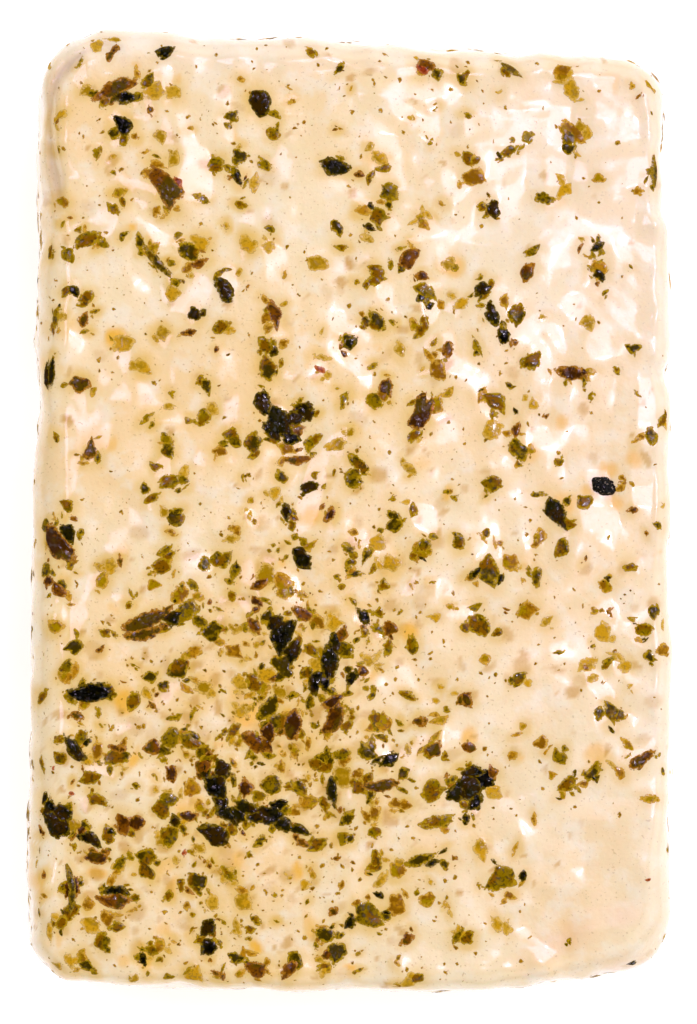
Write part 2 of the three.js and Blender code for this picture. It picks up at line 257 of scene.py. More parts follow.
facets = Unevenness(31, FACET_SIZE, creased=True)
small_facets = Unevenness(36, SMALL_FACET_SIZE, creased=True)
facet_warp_x = Unevenness(32, WARP_SIZE)
facet_warp_y = Unevenness(33, WARP_SIZE)
dimples = Unevenness(34, DIMPLE_SIZE)


def skin_height(points):
    """How far the tight skin stands out of the plain form at each point."""
    warp = np.stack([facet_warp_x.at(points), facet_warp_y.at(points), np.zeros(len(points))], axis=1)
    height = FACET_HEIGHT * facets.at(points + FACET_WARP * warp)
    height += SMALL_FACET_HEIGHT * small_facets.at(points + SMALL_FACET_WARP * warp)
    height += DIMPLE_HEIGHT * dimples.at(points)
    x, y, z = points.T
    cloth = np.cos(2 * math.pi * x / CLOTH_PITCH) * np.cos(2 * math.pi * y / CLOTH_PITCH)
    printed = bump(x, 26, 13) * bump(y, 20, 15)
    height += CLOTH_HEIGHT * cloth * printed
    crumpled = 1 + 0.8 * (1 - smoothstep(inset_at(x, y), 2.0, 6.0)) * smoothstep(z, 12, 20)
    return height * crumpled * smoothstep(z, 0.4, 4.0)


def make_mesh(name, points, faces, smooth=True):
    """An object from points in millimetres."""
    mesh = bpy.data.meshes.new(name)
    mesh.from_pydata((np.asarray(points) * MM).tolist(), [], faces)
    mesh.polygons.foreach_set("use_smooth", [smooth] * len(mesh.polygons))
    mesh.update()
    made = bpy.data.objects.new(name, mesh)
    bpy.context.scene.collection.objects.link(made)
    return made


def add_attribute(made, name, values):
    layer = made.data.attributes.new(name, "FLOAT", "POINT")
    layer.data.foreach_set("value", np.asarray(values, dtype=np.float32))


def band(upper, lower):
    """Quads between two closed rings of points."""
    return np.stack([upper, lower, np.roll(lower, -1), np.roll(upper, -1)], axis=1)


def fan(middle, ring):
    """Triangles between one point and a closed ring."""
    return np.stack([np.full(len(ring), middle), ring, np.roll(ring, -1)], axis=1)


def point_normals(points, quads):
    """Normals at the points, from the quads that meet there."""
    corners = points[quads]
    facing = np.cross(corners[:, 2] - corners[:, 0], corners[:, 3] - corners[:, 1])
    normals = np.zeros_like(points)
    for corner in range(4):
        np.add.at(normals, quads[:, corner], facing)
    return normals / np.linalg.norm(normals, axis=1, keepdims=True)


def side_rings(across, along):
    """Rings of points down the side, from the rounded upper edge to the foot."""
    radius = edge_radius(across * HALF_WIDTH, along * HALF_LENGTH)

    def ring(inset, height_at):
        x, y = plan_point(across * (HALF_WIDTH - inset), along * (HALF_LENGTH - inset))
        return np.stack([x, y, height_at(x, y)], axis=1)

    rings = []
    for step in range(1, EDGE_STEPS + 1):
        angle = step / EDGE_STEPS * math.pi / 2
        inset = radius * (1 - math.sin(angle))
        lean = side_inset(THICKNESS - radius) * math.sin(angle)
        rings.append(ring(inset + lean, lambda x, y: top_height(x, y, inset)))
    shoulder = rings[-1][:, 2]
    for step in range(1, SIDE_STEPS + 1):
        level = lerp(shoulder, FOOT_EDGE, step / SIDE_STEPS)
        rings.append(ring(side_inset(level), lambda x, y: level))
    for step in range(1, FOOT_STEPS + 1):
        angle = step / FOOT_STEPS * math.pi / 2
        level = np.full(len(across), FOOT_EDGE * (1 - math.sin(angle)))
        inset = side_inset(0) + FOOT_EDGE * (1 - math.cos(angle))
        rings.append(ring(inset, lambda x, y: level))
    foot = rings[-1]
    for step in range(1, FOOT_RINGS):
        rings.append(foot * (1 - step / FOOT_RINGS))
    return rings


def slab_form():
    """Points and faces of the cheese, with its skin's facets and dimples."""
    share_across = ease_to_edges(np.linspace(-1, 1, STEPS_ACROSS + 1))
    share_along = ease_to_edges(np.linspace(-1, 1, STEPS_ALONG + 1))
    across, along = np.meshgrid(share_across, share_along, indexing="ij")
    radius = edge_radius(across * HALF_WIDTH, along * HALF_LENGTH)
    x, y = plan_point(across * (HALF_WIDTH - radius), along * (HALF_LENGTH - radius))
    top = np.stack([x, y, top_height(x, y, radius)], axis=-1).reshape(-1, 3)
    number = np.arange(len(top)).reshape(across.shape)
    rim = np.concatenate([number[:-1, 0], number[-1, :-1], number[:0:-1, -1], number[0, :0:-1]])
    rings = side_rings(across.ravel()[rim], along.ravel()[rim])
    points = np.concatenate([top, *rings, [[0, 0, 0]]])

    top_quads = np.stack([number[:-1, :-1], number[1:, :-1], number[1:, 1:], number[:-1, 1:]], axis=-1)
    quads = [top_quads.reshape(-1, 4)]
    upper = rim
    for index in range(len(rings)):
        lower = len(top) + index * len(rim) + np.arange(len(rim))
        quads.append(band(upper, lower))
        upper = lower
    quads = np.concatenate(quads)
    foot = fan(len(points) - 1, upper[::-1])

    normals = point_normals(points, np.concatenate([quads, foot[:, [0, 1, 2, 2]]]))
    points = points + normals * skin_height(points)[:, None]
    return points, quads, foot


slab_points, slab_quads, slab_foot = slab_form()
slab_tree = BVHTree.FromPolygons(slab_points.tolist(), slab_quads.tolist())


def lay_on_slab(points):
    """The nearest places on the slab to some points, and the directions out of it."""
    places = np.empty((len(points), 3))
    outward = np.empty((len(points), 3))
    for index, point in enumerate(points.tolist()):
        place, normal, _, _ = slab_tree.find_nearest(point)
        places[index] = place
        outward[index] = normal
    return places, outward


# Where the herbs lie. The largest leaves are placed one by one: kind, centre, length, width and turn.

MAIN_LEAVES = (
    ("dark", -8.6, 10.4, 5.2, 3.8, -50), ("dark", -5.6, 12.0, 2.8, 2.0, 20),
    ("brown", -24.2, -13.4, 8.4, 2.6, 22), ("green", -19.6, -12.1, 4.6, 2.6, 35),
    ("dark", -15.7, -33.1, 4.6, 3.2, -60), ("dark", -12.2, -35.5, 3.6, 2.2, -25),
    ("dark", -9.4, -36.2, 4.4, 3.2, -10), ("dark", -6.2, -38.0, 3.8, 1.6, -15),
    ("dark", -34.8, -37.0, 4.6, 3.8, -35), ("dark", -31.0, -38.9, 4.2, 1.8, -30),
    ("dark", 13.9, -32.8, 5.4, 3.6, 15), ("dark", -8.0, -14.9, 5.6, 3.4, 75),
    ("dark", -2.4, -18.1, 5.4, 2.4, 85), ("brown", -2.0, -24.8, 4.4, 2.6, 60),
    ("brown", -34.9, -3.9, 6.6, 3.2, -50), ("dark", -35.6, 16.4, 4.2, 1.8, 85),
    ("brown", -30.8, 7.1, 3.6, 2.2, 80), ("dark", -27.0, 45.7, 3.6, 2.4, -60),
    ("brown", -27.6, 50.2, 7.2, 2.2, 20), ("dark", -10.8, 48.4, 4.0, 3.2, -60),
    ("brown", -21.8, 38.2, 6.8, 3.4, -62), ("green", -31.2, 32.2, 4.2, 2.0, 22),
    ("stem", -22.9, 29.4, 6.6, 1.2, -48), ("green", -19.2, 30.8, 3.4, 2.4, -40),
    ("dark", -14.9, 26.2, 3.8, 2.2, -65), ("brown", -8.9, 23.2, 4.4, 2.0, -70),
    ("green", -9.7, 16.9, 3.6, 2.4, -80), ("green", -15.5, -6.0, 3.8, 2.4, 20),
    ("dark", -5.8, -5.5, 4.0, 2.6, -60), ("dark", -1.8, 40.6, 4.2, 2.4, -20),
    ("brown", 8.5, 11.4, 5.4, 3.4, 60), ("green", 17.3, 12.8, 4.4, 2.6, -35),
    ("green", 20.0, 7.2, 3.8, 2.4, -60), ("dark", 24.4, 0.0, 6.0, 3.0, -65),
    ("green", 16.3, -7.3, 4.6, 3.0, -70), ("brown", 26.2, 16.3, 4.6, 2.0, 5),
    ("green", 17.9, -43.6, 4.8, 3.2, 18), ("brown", 3.7, -32.9, 6.6, 1.8, 5),
    ("green", 10.3, -37.0, 4.8, 1.6, 10), ("brown", 34.4, -29.8, 5.4, 1.8, 38),
    ("green", 2.2, -48.2, 4.6, 3.6, -30), ("green", 8.2, -41.5, 5.2, 1.8, 20),
    ("green", 31.1, -23.9, 3.6, 2.0, -70), ("stem", 36.2, 40.2, 4.6, 1.3, 88),
    ("ochre", 26.4, 44.8, 4.2, 2.4, -45), ("brown", 8.8, 53.0, 3.6, 1.8, -35),
    ("stem", 19.0, 52.4, 3.8, 1.1, -42), ("brown", 7.0, 29.9, 3.4, 2.6, 30),
    ("green", 9.1, 26.0, 3.6, 2.0, -35), ("dark", 16.9, 23.3, 3.8, 2.0, -65),
    ("dark", -30.6, -22.0, 6.2, 3.2, 8), ("dark", -32.6, -28.8, 5.4, 2.2, -48),
    ("green", -27.6, -29.4, 3.6, 2.6, 20), ("green", -19.2, -27.4, 4.2, 2.2, -30),
    ("brown", -11.0, -27.6, 4.6, 2.6, -30), ("green", -9.6, -23.6, 4.2, 2.4, 60),
    ("dark", -16.1, -38.8, 4.8, 3.2, -25), ("green", -21.4, -38.8, 3.6, 2.8, 60),
    ("dark", -2.0, -33.4, 4.4, 1.8, -85), ("brown", -28.0, -46.4, 5.0, 2.6, -12),
    ("stem", -33.0, -45.0, 6.8, 1.1, -85), ("green", -1.6, -52.4, 3.8, 2.6, 60),
)

# Leaves a size smaller, also placed one by one
MIDDLE_LEAVES = (
    ("dark", 13.9, -36.7, 2.0, 1.3, 90), ("brown", -34.8, -9.5, 2.8, 1.8, -50),
    ("brown", -32.0, 15.0, 3.0, 2.4, 0), ("green", -35.3, 22.6, 3.4, 1.6, 75),
    ("brown", -31.6, 22.4, 2.6, 1.8, 60), ("green", -22.2, -6.6, 3.0, 2.4, 0),
    ("brown", 4.3, 14.6, 3.0, 2.0, -70), ("green", 8.8, -4.2, 2.6, 1.8, 40),
    ("green", 34.8, -14.2, 2.8, 2.0, 15), ("brown", 10.0, -28.6, 3.0, 2.4, 60),
    ("green", 3.0, -42.2, 2.8, 1.6, 30), ("green", 25.8, -32.5, 3.2, 2.0, 45),
    ("pale", 26.4, 50.0, 3.2, 2.4, -60), ("dark", 16.9, 35.8, 2.8, 2.2, -60),
    ("green", 13.9, 41.8, 2.2, 1.8, -60), ("green", 3.4, 34.9, 3.0, 2.6, 0),
    ("dark", 15.6, 26.2, 2.6, 2.0, 40), ("dark", 18.2, 20.6, 3.0, 1.8, -60),
    ("dark", 29.2, 31.2, 2.6, 1.4, 20), ("dark", 29.6, 28.0, 2.2, 1.6, -60),
    ("brown", -23.5, -28.2, 2.6, 2.2, 0), ("brown", -17.6, -30.4, 2.8, 2.4, -60),
    ("dark", -17.0, -49.6, 2.8, 2.4, 45), ("green", -3.0, -50.4, 3.0, 2.2, -20),
    ("brown", -11.0, -54.6, 3.6, 2.4, -10), ("dark", -24.5, -53.3, 2.2, 1.2, -70),
    ("green", -31.4, -54.2, 2.6, 1.8, -15), ("dark", -13.4, 39.4, 2.6, 1.4, -70),
    ("dark", -36.6, 15.8, 4.6, 1.8, 88), ("brown", -6.8, -25.6, 4.4, 2.6, 80),
    ("green", -9.8, -12.6, 2.6, 2.0, 60), ("dark", -21.2, -12.8, 3.4, 2.2, 20),
    ("dark", -33.6, -2.6, 3.4, 2.2, -50), ("brown", -36.0, -8.4, 2.6, 2.0, 80),
    ("dark", -15.2, -30.8, 3.4, 2.4, -60), ("dark", -14.6, -36.0, 4.6, 2.4, -50),
    ("dark", 14.6, -31.2, 3.6, 2.0, 10), ("dark", -35.4, 22.6, 2.4, 1.4, 75),
    ("brown", -24.6, -14.8, 6.6, 1.8, 12), ("dark", -4.2, -20.6, 3.6, 2.2, 70),
    ("brown", -2.0, -22.6, 3.4, 2.0, 20), ("dark", 0.2, -19.8, 2.6, 1.6, 60),
    ("brown", -5.6, -12.4, 3.4, 1.8, -30), ("dark", 1.6, -12.6, 3.0, 1.6, -50),
    ("dark", -10.4, 12.6, 3.6, 2.4, -75), ("dark", -7.2, 8.6, 3.4, 2.0, -20),
    ("dark", -5.4, 11.4, 3.2, 2.6, 30), ("brown", -6.0, 6.0, 4.6, 1.6, 5),
    ("dark", -4.8, 2.8, 3.0, 1.8, 35), ("dark", -7.6, -0.2, 2.6, 1.6, -80),
    ("ochre", 8.6, 34.2, 3.0, 1.6, -50), ("dark", 0.0, 19.9, 2.4, 1.8, 40),
    ("green", 1.8, 22.4, 1.8, 1.4, 0), ("brown", 11.6, 19.2, 3.2, 1.6, 80),
    ("dark", -26.8, 49.0, 3.8, 1.8, 10), ("dark", -21.4, 37.6, 3.0, 2.6, -60),
    ("green", -32.0, -27.0, 2.6, 1.8, 60), ("dark", -36.0, -35.2, 2.8, 2.2, 60),
    ("dark", -27.8, -45.2, 4.2, 1.6, 0), ("dark", -16.8, -52.0, 2.6, 2.4, 60),
    ("green", -34.2, -49.0, 2.4, 1.8, 80), ("green", 18.8, 42.6, 3.0, 1.6, 30),
    ("green", 28.8, -31.2, 3.2, 1.4, 40),
)

# Dark lobes that join the darkest leaves into curled and branched clumps: centre, length, width, turn
DARK_LOBES = (
    (-15.2, -34.9, 3.2, 2.2, -65), (-13.5, -36.2, 3.2, 2.2, -35), (-11.0, -36.5, 3.2, 2.2, 5),
    (-7.9, -37.3, 2.8, 1.9, -25), (-17.2, -31.0, 2.6, 1.8, -80), (-8.6, -35.2, 2.8, 2.2, 40),
    (-6.9, -16.8, 3.4, 2.6, 75), (-9.0, -13.4, 3.0, 2.4, 60), (-1.8, -15.8, 3.2, 2.0, -80),
    (-2.8, -20.4, 3.0, 1.8, 85), (15.8, -32.0, 3.4, 2.8, -20), (12.6, -33.6, 3.2, 2.4, 20),
    (14.8, -34.8, 3.0, 2.0, 60), (-9.2, 9.2, 3.6, 2.6, -40), (-6.6, 10.8, 3.2, 2.2, 0),
    (-34.2, -36.0, 3.0, 2.4, -40), (-31.6, -21.4, 3.0, 2.0, 20),
)

PEPPERCORN = {"middle": (30.1, 2.8, THICKNESS - 0.35), "diameter": 2.9, "stretch": (1.18, 0.84, 1),
              "turn": -18, "turns": 72, "levels": 40}

# Flecks of a redder leaf: centre, length and turn
RED_FLECKS = ((35.4, -43.9, 0.8, 20), (-3.6, 16.8, 1.6, -30), (-35.3, -30.7, 0.8, 60),
              (-33.1, -33.7, 1.0, 5), (-19.7, -40.7, 1.2, 80), (8.6, 52.4, 2.2, -30),
              (-20.4, 38.9, 1.8, -60), (9.6, 12.0, 1.6, 45))

# Yellow spots in the cheese: centre and size
AMBER_SPOTS = ((-4.6, -0.8, 2.2), (7.0, -14.6, 2.4), (-27.8, 20.4, 2.6), (12.0, 28.9, 2.0),
               (33.6, 6.1, 2.2), (-26.6, -22.8, 3.0), (-12.2, -24.4, 3.0), (25.0, 10.4, 1.6),
               (30.6, 4.8, 2.0), (31.4, 1.0, 2.0), (28.2, 2.2, 1.6), (21.0, 7.0, 2.4))

# Pinkish blushes near the soft corner: centre, length, width and turn. The second is painted shade.
BLUSHES = ((32.2, -48.2, 3.6, 2.6, 15), (32.4, -54.6, 5.5, 2.4, 20), (25.4, -50.8, 7.0, 3.0, 25))


def seeded_random(seed):
    """The same numbers each time, between 0 and 1, as in the CAD model."""
    state = seed
    while True:
        state = (state * 1664525 + 1013904223) % 2 ** 32
        yield state / 2 ** 32


def strewn(x, y):
    """How thickly the top is strewn at a point, between 0 and 1."""
    heap = 0.55 * bump(x, -8, 16) * bump(y, -26, 24)
    near_left = 0.35 * bump(x, -24, 14) * bump(y, -38, 16)
    bare_margin = 0.3 * bump(x, -32, 8) * bump(y, 7, 9)
    bare_corner = 0.45 * bump(x, 34, 12) * bump(y, -48, 12)
    bare_right = 0.25 * bump(x, 34, 12) * bump(y, 28, 22)
    density = 0.45 + heap + near_left - bare_margin - bare_corner - bare_right
    return min(max(density, 0.05), 1)


def on_top(x, y, *measures):
    """A thing on the top, as centre, facing and its measures."""
    return (x, y, THICKNESS), UP, *measures


def scattered_herb(numbers, rank):
    """Length, width and turn of the next herb. They get shorter in the order of scattering."""
    long = HERB_SMALLEST + HERB_SPAN * math.exp(-rank / HERB_FALL)
    wide = long * (0.5 + 0.4 * next(numbers))
    return long, wide, 180 * next(numbers)


def scatter_on_top(count):
    numbers = seeded_random(HERB_SEED)
    herbs = []
    while len(herbs) < count:
        x = (next(numbers) - 0.5) * WIDTH
        y = (next(numbers) - 0.5) * LENGTH
        keep = next(numbers) < strewn(x, y)
        herb = scattered_herb(numbers, len(herbs))
        if keep and inset_at(x, y) > TOP_MARGIN:
            herbs.append(on_top(x, y, *herb))
    return herbs


def scatter_on_sides(count):
    numbers = seeded_random(HERB_SEED + 1)
    long_share = LENGTH / (LENGTH + WIDTH)
    herbs = []
    for rank in range(count):
        on_long_side = next(numbers) < long_share
        on_first = next(numbers) < 0.5
        reach = (HALF_LENGTH if on_long_side else HALF_WIDTH) - SIDE_MARGIN
        along = (2 * next(numbers) - 1) * reach
        height = lerp(SIDE_LOWEST, SIDE_HIGHEST, next(numbers))
        herb = scattered_herb(numbers, rank)
        if on_long_side and on_first:
            herbs.append(((right_side(along), along, height), (1, 0, 0), *herb))
        elif on_long_side:
            herbs.append(((left_side(-along), -along, height), (-1, 0, 0), *herb))
        elif on_first:
            herbs.append(((along, near_side(along), height), (0, -1, 0), *herb))
        else:
            herbs.append(((-along, far_side(-along), height), (0, 1, 0), *herb))
    return herbs


def lie_of(facing, turn):
    """Directions along and across a thing that faces one way and is turned in its plane."""
    side = np.array((1, 0, 0)) if abs(facing[2]) > 0.5 else np.cross(UP, facing)
    up = np.cross(facing, side)
    angle = math.radians(turn)
    along = side * math.cos(angle) + up * math.sin(angle)
    across = up * math.cos(angle) - side * math.sin(angle)
    return along, across


class HerbHeap:
    """Herbs of one kind, joined into one mesh that follows the slab."""

    def __init__(self, seed, ragged=0.45, proud=0.3, wrinkle=0.25):
        self.random = np.random.default_rng(seed)
        self.ragged = ragged
        self.proud = proud
        self.wrinkle = wrinkle
        self.creases = Unevenness(seed + 500, 0.8, creased=True)
        self.points = []
        self.heights = []
        self.insides = []
        self.tones = []
        self.faces = []
        self.total = 0

    def outline(self, corners, per_edge):
        """A torn outline of unit size, with softly notched tears between its corners."""
        jitter = self.random.uniform(-0.38, 0.38, corners)
        angle = (np.arange(corners) + jitter) / corners * 2 * math.pi
        reach = 1.12 - self.ragged * self.random.random(corners)
        tips = np.stack([reach * np.cos(angle), reach * np.sin(angle)], axis=1)
        share = np.arange(per_edge)[None, :, None] / per_edge
        tears = lerp(tips[:, None], np.roll(tips, -1, axis=0)[:, None], share).reshape(-1, 2)
        notches = self.random.uniform(-0.5, 0.5, (len(tears), 1)) * self.ragged / per_edge ** 0.7
        tears = tears * (1 + notches)
        tears = 0.5 * tears + 0.25 * np.roll(tears, 1, axis=0) + 0.25 * np.roll(tears, -1, axis=0)
        return tears / np.abs(tears).max(axis=0)

    def flat_herb(self, long, wide):
        """Points of a flat herb in rings round its middle, how far out each lies, and a ring's size."""
        corners = self.random.integers(4, 8) if long < 2.4 else self.random.integers(6, 11)
        outline = self.outline(corners, max(3, round(1.2 * long)))
        outline[:, 1] *= 1 - 0.4 * outline[:, 0] ** 2
        outline *= [long / 2, wide / 2]
        rings = max(3, round(1.3 * long))
        shares = (np.arange(1, rings + 1) / rings) ** 0.8
        flat = np.concatenate([[[0.0, 0.0]], *[outline * share for share in shares]])
        flat[:, 1] += self.random.uniform(-0.5, 0.5) * flat[:, 0] ** 2 / long
        rim = np.concatenate([[0.0], np.repeat(shares, len(outline))])
        return flat, rim, len(outline)

    def stand_out(self, flat, rim, large):
        """How far each point of a wrinkled herb stands out of the cheese."""
        crease = self.creases.at(np.column_stack([flat, np.full(len(flat), 9.0 * len(self.points))]))
        thick = 0.03 + self.proud * self.random.uniform(0.2, 1.2) * large
        return thick * (1 - rim ** 6) + self.wrinkle * large ** 2 * np.abs(crease) * (1 - rim ** 4)

    def stitch(self, size, count):
        """Faces of the next herb: a fan in its middle and bands of quads round it."""
        ring = self.total + 1 + np.arange(size)
        self.faces += fan(self.total, ring).tolist()
        self.total += count
        while ring[-1] + 1 < self.total:
            self.faces += band(ring, ring + size).tolist()
            ring = ring + size

    def add(self, centre, facing, long, wide, turn):
        """One herb: rings of points from its middle to its rim, which dips into the cheese."""
        flat, rim, size = self.flat_herb(long, wide)
        large = min(1, long / 5) * (1 if abs(facing[2]) > 0.5 else 0.1)
        self.heights.append(self.stand_out(flat, rim, large))
        along, across = lie_of(facing, turn)
        self.points.append(np.array(centre) + flat[:, :1] * along + flat[:, 1:] * across)
        self.insides.append((1 - rim) * max(wide / 2, 0.35))
        self.tones.append(np.full(len(flat), self.random.random()))
        self.stitch(size, len(flat))

    def make(self, name):
        places, outward = lay_on_slab(np.concatenate(self.points))
        points = places + outward * np.concatenate(self.heights)[:, None]
        points[:, 2] = np.maximum(points[:, 2], 0)
        made = make_mesh(name, points, self.faces)
        add_attribute(made, "inside", np.concatenate(self.insides))
        add_attribute(made, "tone", np.concatenate(self.tones))
        return made


# How the strewn flakes are shared out among the kinds
KIND_SHARES = {"green": 0.475, "pale": 0.2, "ochre": 0.21, "brown": 0.1, "dark": 0.015}


def small_flakes(random, count):
    """Places, sizes and turns of the small flakes that fill in between the leaves on top."""
    flakes = []
    while len(flakes) < count:
        x = random.uniform(-HALF_WIDTH, HALF_WIDTH)
        y = random.uniform(-HALF_LENGTH, HALF_LENGTH)
        keep = random.random() < strewn(x, y) ** 2
        long = 1.0 + 2.3 * random.random() ** 1.7
        wide = long * random.uniform(0.35, 0.95)
        if keep and inset_at(x, y) > 0.4:
            flakes.append(on_top(x, y, long, wide, random.uniform(0, 180)))
    return flakes


def round_the_sides(random, count):
    """The same for flakes all round the sides, corners too."""
    flakes = []
    for _ in range(count):
        sign = random.choice((-1, 1))
        along = random.uniform(-1, 1)
        on_long_side = random.random() < LENGTH / (LENGTH + WIDTH)
        flat_x, flat_y = (sign, along) if on_long_side else (along, sign)
        x, y = plan_point(flat_x * HALF_WIDTH, flat_y * HALF_LENGTH)
        facing = (sign, 0, 0) if on_long_side else (0, sign, 0)
        long = 0.8 + 1.9 * random.random() ** 1.8
        wide = long * random.uniform(0.45, 0.95)
        height = random.uniform(1.2, 22)
        flakes.append(((x, y, height), facing, long, wide, random.uniform(0, 180)))
    return flakes


# Kinds of the torn bits that lie against a leaf of each kind
NEIGHBOURS = {
    "dark": ("green", "green", "brown"),
    "brown": ("ochre", "green", "green"),
    "green": ("green", "ochre", "dark"),
    "ochre": ("pale",),
    "pale": ("pale",),
    "stem": ("green",),
}


def companions(random, leaves):
    """Torn bits that lie against the leaves placed by eye."""
    bits = []
    for kind, x, y, long, wide, turn in leaves:
        angle = math.radians(turn)
        for _ in range(random.integers(2, 6)):
            round_leaf = random.uniform(0, 2 * math.pi)
            away = random.uniform(0.8, 1.4)
            along = 0.5 * away * long * math.cos(round_leaf)
            across = 0.55 * away * wide * math.sin(round_leaf)
            bit_x = x + along * math.cos(angle) - across * math.sin(angle)
            bit_y = y + along * math.sin(angle) + across * math.cos(angle)
            bit_long = random.uniform(0.7, 1.3) + 0.3 * long * random.random()
            bit = (bit_long, bit_long * random.uniform(0.3, 0.9), random.uniform(0, 180))
            if inset_at(bit_x, bit_y) > 0.6:
                bit_kind = str(random.choice(NEIGHBOURS[kind]))
                bits.append((bit_kind, *on_top(bit_x, bit_y, *bit)))
    return bits


def twins(random, herbs):
    """Smaller bits grown onto some of the flakes, which gives them hollow and notched outlines."""
    bits = []
    for kind, centre, facing, long, wide, turn in herbs:
        if random.random() < 0.45:
            shift = random.uniform(-0.5, 0.5, 3) * long
            bit_long = long * random.uniform(0.35, 0.75)
            bit = (bit_long, bit_long * random.uniform(0.3, 0.9), random.uniform(0, 180))
            bits.append((kind, tuple(np.array(centre) + shift * (1 - np.abs(facing))), facing, *bit))
    return bits


def gather_herbs():
    """Every herb but the specks, as (kind, centre, facing, length, width, turn)."""
    random = np.random.default_rng(77)
    kinds = list(KIND_SHARES)
    shares = list(KIND_SHARES.values())
    placed = MAIN_LEAVES + MIDDLE_LEAVES
    herbs = [(kind, *on_top(*leaf)) for kind, *leaf in placed]
    herbs += companions(random, placed)
    strewn_herbs = scatter_on_top(TOP_HERBS) + scatter_on_sides(SIDE_HERBS)
    strewn_herbs += small_flakes(random, SMALL_FLAKES) + round_the_sides(random, SIDE_FLAKES)
    flakes = [(str(random.choice(kinds, p=shares)), *herb) for herb in strewn_herbs]
    lobes = [("dark", *on_top(*lobe)) for lobe in DARK_LOBES]
    return herbs + flakes + twins(random, flakes) + lobes


def herb_pieces(herbs):
    heaps = {
        "dark": HerbHeap(11, ragged=0.55, proud=0.16, wrinkle=0.28),
        "brown": HerbHeap(12, ragged=0.6, proud=0.12, wrinkle=0.2),
        "green": HerbHeap(13, ragged=0.5, proud=0.08, wrinkle=0.12),
        "ochre": HerbHeap(14, ragged=0.6, proud=0.04, wrinkle=0.05),
        "pale": HerbHeap(18, ragged=0.6, proud=0.03, wrinkle=0.03),
        "stem": HerbHeap(15, ragged=0.2, proud=0.15, wrinkle=0.08),
    }
    for kind, *herb in herbs:
        heaps[kind].add(*herb)
    return {kind: heap.make(f"{kind}_leaves") for kind, heap in heaps.items()}


def specks():
    """Dust of herbs and pepper, all over the top and the sides."""
    random = np.random.default_rng(78)
    heap = HerbHeap(16, ragged=0.5, proud=0.0, wrinkle=0.0)
    places = small_flakes(random, TOP_SPECKS) + round_the_sides(random, SIDE_SPECKS)
    for centre, facing, _, _, turn in places:
        long = 0.3 + 0.6 * random.random() ** 2
        heap.add(centre, facing, long, long * random.uniform(0.4, 0.9), turn)
    return heap.make("specks")


def red_flecks():
    """A few flecks of a redder leaf."""
    heap = HerbHeap(17, ragged=0.5, proud=0.18, wrinkle=0.1)
    for x, y, long, turn in RED_FLECKS:
        heap.add(*on_top(x, y, long, 0.6 * long, turn))
    return heap.make("red_flecks")


def peppercorn():
    """A shrunken black peppercorn, longer than wide, wrinkled like a net and half sunk in the top."""
    folds = Unevenness(19, 0.62)
    pits = Unevenness(20, 0.3)
    radius = PEPPERCORN["diameter"] / 2
    turns, levels = PEPPERCORN["turns"], PEPPERCORN["levels"]
    around = np.arange(turns) / turns * 2 * math.pi
    down = np.arange(1, levels) / levels * math.pi
    down_grid, around_grid = np.meshgrid(down, around, indexing="ij")
    ball = np.stack([np.sin(down_grid) * np.cos(around_grid),
                     np.sin(down_grid) * np.sin(around_grid), np.cos(down_grid)], axis=-1)
    unit = np.concatenate([[[0, 0, 1]], ball.reshape(-1, 3), [[0, 0, -1]]])
    wrinkle = (1 - np.abs(folds.at(unit * radius * (0.75, 1, 1)))) ** 3
    reach = radius - 0.26 * wrinkle + 0.06 * pits.at(unit * radius)
    along, across = lie_of(UP, PEPPERCORN["turn"])
    stretched = unit * reach[:, None] * PEPPERCORN["stretch"]
    points = PEPPERCORN["middle"] + stretched @ np.array([along, across, UP])
    ring = 1 + np.arange(turns)
    faces = fan(0, ring).tolist()
    for _ in range(levels - 2):
        faces += band(ring, ring + turns).tolist()
        ring = ring + turns
    faces += fan(len(points) - 1, ring[::-1]).tolist()
    return make_mesh("peppercorn", points, faces)


def soft_spots(points, spots, edge):
    """How deep each point lies in soft-edged oval spots, the strongest spot counting."""
    depth = np.zeros(len(points))
    order = np.argsort(points[:, 1])
    along_slab = points[order, 1]
    for centre, facing, long, wide, turn, strength in spots:
        first, last = np.searchsorted(along_slab, (centre[1] - long, centre[1] + long))
        near = order[first:last]
        near = near[np.abs(points[near] - centre).max(axis=1) < long]
        offset = points[near] - centre
        along, across = lie_of(facing, turn)
        reach = np.sqrt((2 * offset @ along / long) ** 2 + (2 * offset @ across / wide) ** 2)
        depth[near] = np.maximum(depth[near], strength * (1 - smoothstep(reach, 1 - edge, 1 + edge)))
    return depth


def paler_sides(x, y):
    """How much painted light whitens the cheese towards its right and far sides, where light falls."""
    towards_right = smoothstep(x, 2, 30) * (0.3 + 0.4 * smoothstep(y, -10, 45))
    return np.maximum(towards_right + 0.5 * smoothstep(x, 33, 38.5), smoothstep(y, 50, 56.5))


